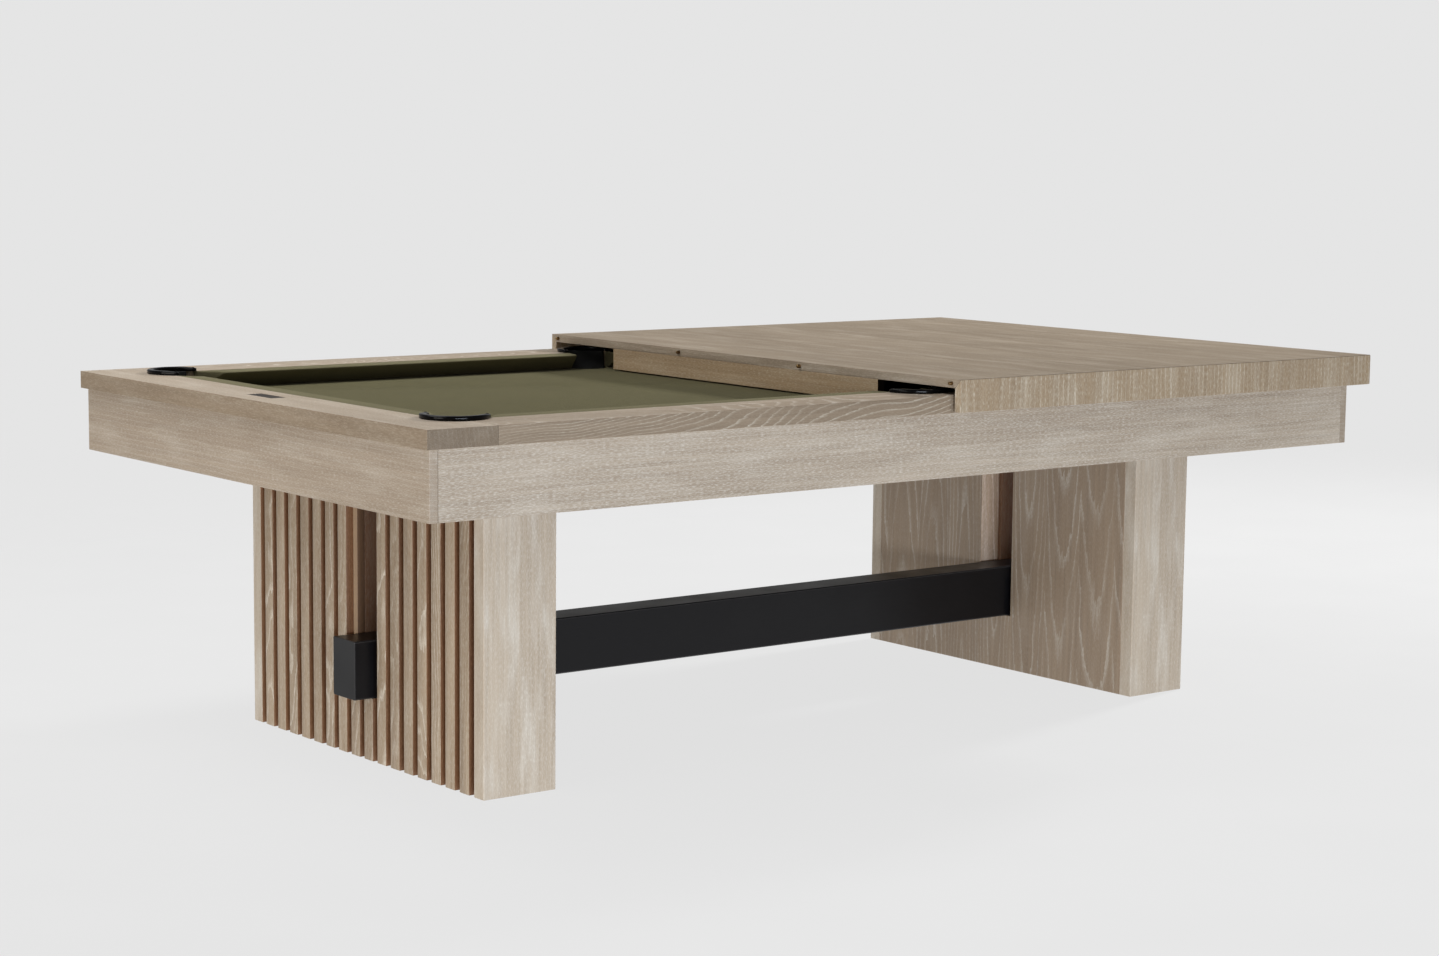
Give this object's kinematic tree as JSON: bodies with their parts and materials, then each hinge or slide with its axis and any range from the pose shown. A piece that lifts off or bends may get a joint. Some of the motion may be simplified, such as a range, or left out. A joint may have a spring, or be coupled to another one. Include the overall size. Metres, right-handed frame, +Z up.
{
  "type": "pool table",
  "caption": "Pool table in limed oak: slatted pedestal legs, black trestle beam, slate bed under olive cloth, drop pockets, and a half dining top that lifts off.",
  "frame": {"origin": "on the floor, under the middle of the whole object's plan box, which is 11.25 mm towards the foot end from the middle of the playing field, because the half dining top stands out past the foot rail", "axes": "+X from the head end (bare cloth) to the foot end (dining top), +Y to the left of someone who stands at the head end and looks at the foot, +Z up"},
  "size_m": [2.6136, 1.529, 0.822],
  "materials": {
    "oak_rail": "limed open-grain oak, matt clear coat",
    "oak_apron": "limed quarter-sawn oak, matt clear coat",
    "oak_leg": "limed plain-sawn oak, matt clear coat",
    "oak_lining": "limed oak, in shade",
    "oak_top": "limed oak, grain across the table, matt clear coat",
    "cloth": "worsted wool cloth, olive",
    "slate": "honed grey slate",
    "pocket_iron": "gloss black",
    "pocket_bucket": "matt black",
    "black_beam": "black satin lacquer on timber",
    "frame_timber": "planed softwood, unfinished",
    "pin_brass": "turned",
    "name_plate": "dark bronze, satin, blank",
    "rest_felt": "felt-faced strip"
  },
  "bodies": {
    "table": {"head_rail": "oak_rail", "foot_rail": "oak_rail", "name_plate": "name_plate", "head_cushion": "cloth", "head_apron": "oak_apron", "head_frame_cross": "frame_timber", "head_leg_slatted_panel": "oak_leg", "head_leg_inner_panel": "oak_leg", "head_leg_slot_lining": "oak_lining", "head_leg_right_panel": "oak_leg", "head_right_rail": "oak_rail", "head_right_cushion": "cloth", "head_leg_left_panel": "oak_leg", "head_left_rail": "oak_rail", "head_left_cushion": "cloth", "foot_cushion": "cloth", "foot_apron": "oak_apron", "foot_frame_cross": "frame_timber", "foot_leg_slatted_panel": "oak_leg", "foot_leg_inner_panel": "oak_leg", "foot_leg_slot_lining": "oak_lining", "foot_leg_right_panel": "oak_leg", "foot_right_rail": "oak_rail", "foot_right_cushion": "cloth", "foot_leg_left_panel": "oak_leg", "foot_left_rail": "oak_rail", "foot_left_cushion": "cloth", "right_apron": "oak_apron", "right_frame_beam": "frame_timber", "left_apron": "oak_apron", "left_frame_beam": "frame_timber", "head_right_pocket_iron": "pocket_iron", "head_right_pocket_bucket": "pocket_bucket", "foot_right_pocket_iron": "pocket_iron", "foot_right_pocket_bucket": "pocket_bucket", "side_right_pocket_iron": "pocket_iron", "side_right_pocket_bucket": "pocket_bucket", "head_left_pocket_iron": "pocket_iron", "head_left_pocket_bucket": "pocket_bucket", "foot_left_pocket_iron": "pocket_iron", "foot_left_pocket_bucket": "pocket_bucket", "side_left_pocket_iron": "pocket_iron", "side_left_pocket_bucket": "pocket_bucket", "head_slate": "slate", "middle_slate": "slate", "foot_slate": "slate", "bed_cloth": "cloth", "trestle_beam": "black_beam"},
    "dining_top": {"dining_top_panel": "oak_top", "dining_top_foot_skirt": "oak_top", "dining_top_cross_board": "oak_top", "dining_top_right_skirt": "oak_top", "dining_top_right_rest_strip": "rest_felt", "dining_top_left_skirt": "oak_top", "dining_top_left_rest_strip": "rest_felt", "alignment_pin_1": "pin_brass", "alignment_pin_2": "pin_brass", "alignment_pin_3": "pin_brass", "alignment_pin_4": "pin_brass"}
  },
  "joints": [
    {"name": "dining_top_lift", "type": "slide", "parent": "table", "child": "dining_top", "axis": [0, 0, 1], "range_m": [0, 0.2]}
  ]
}
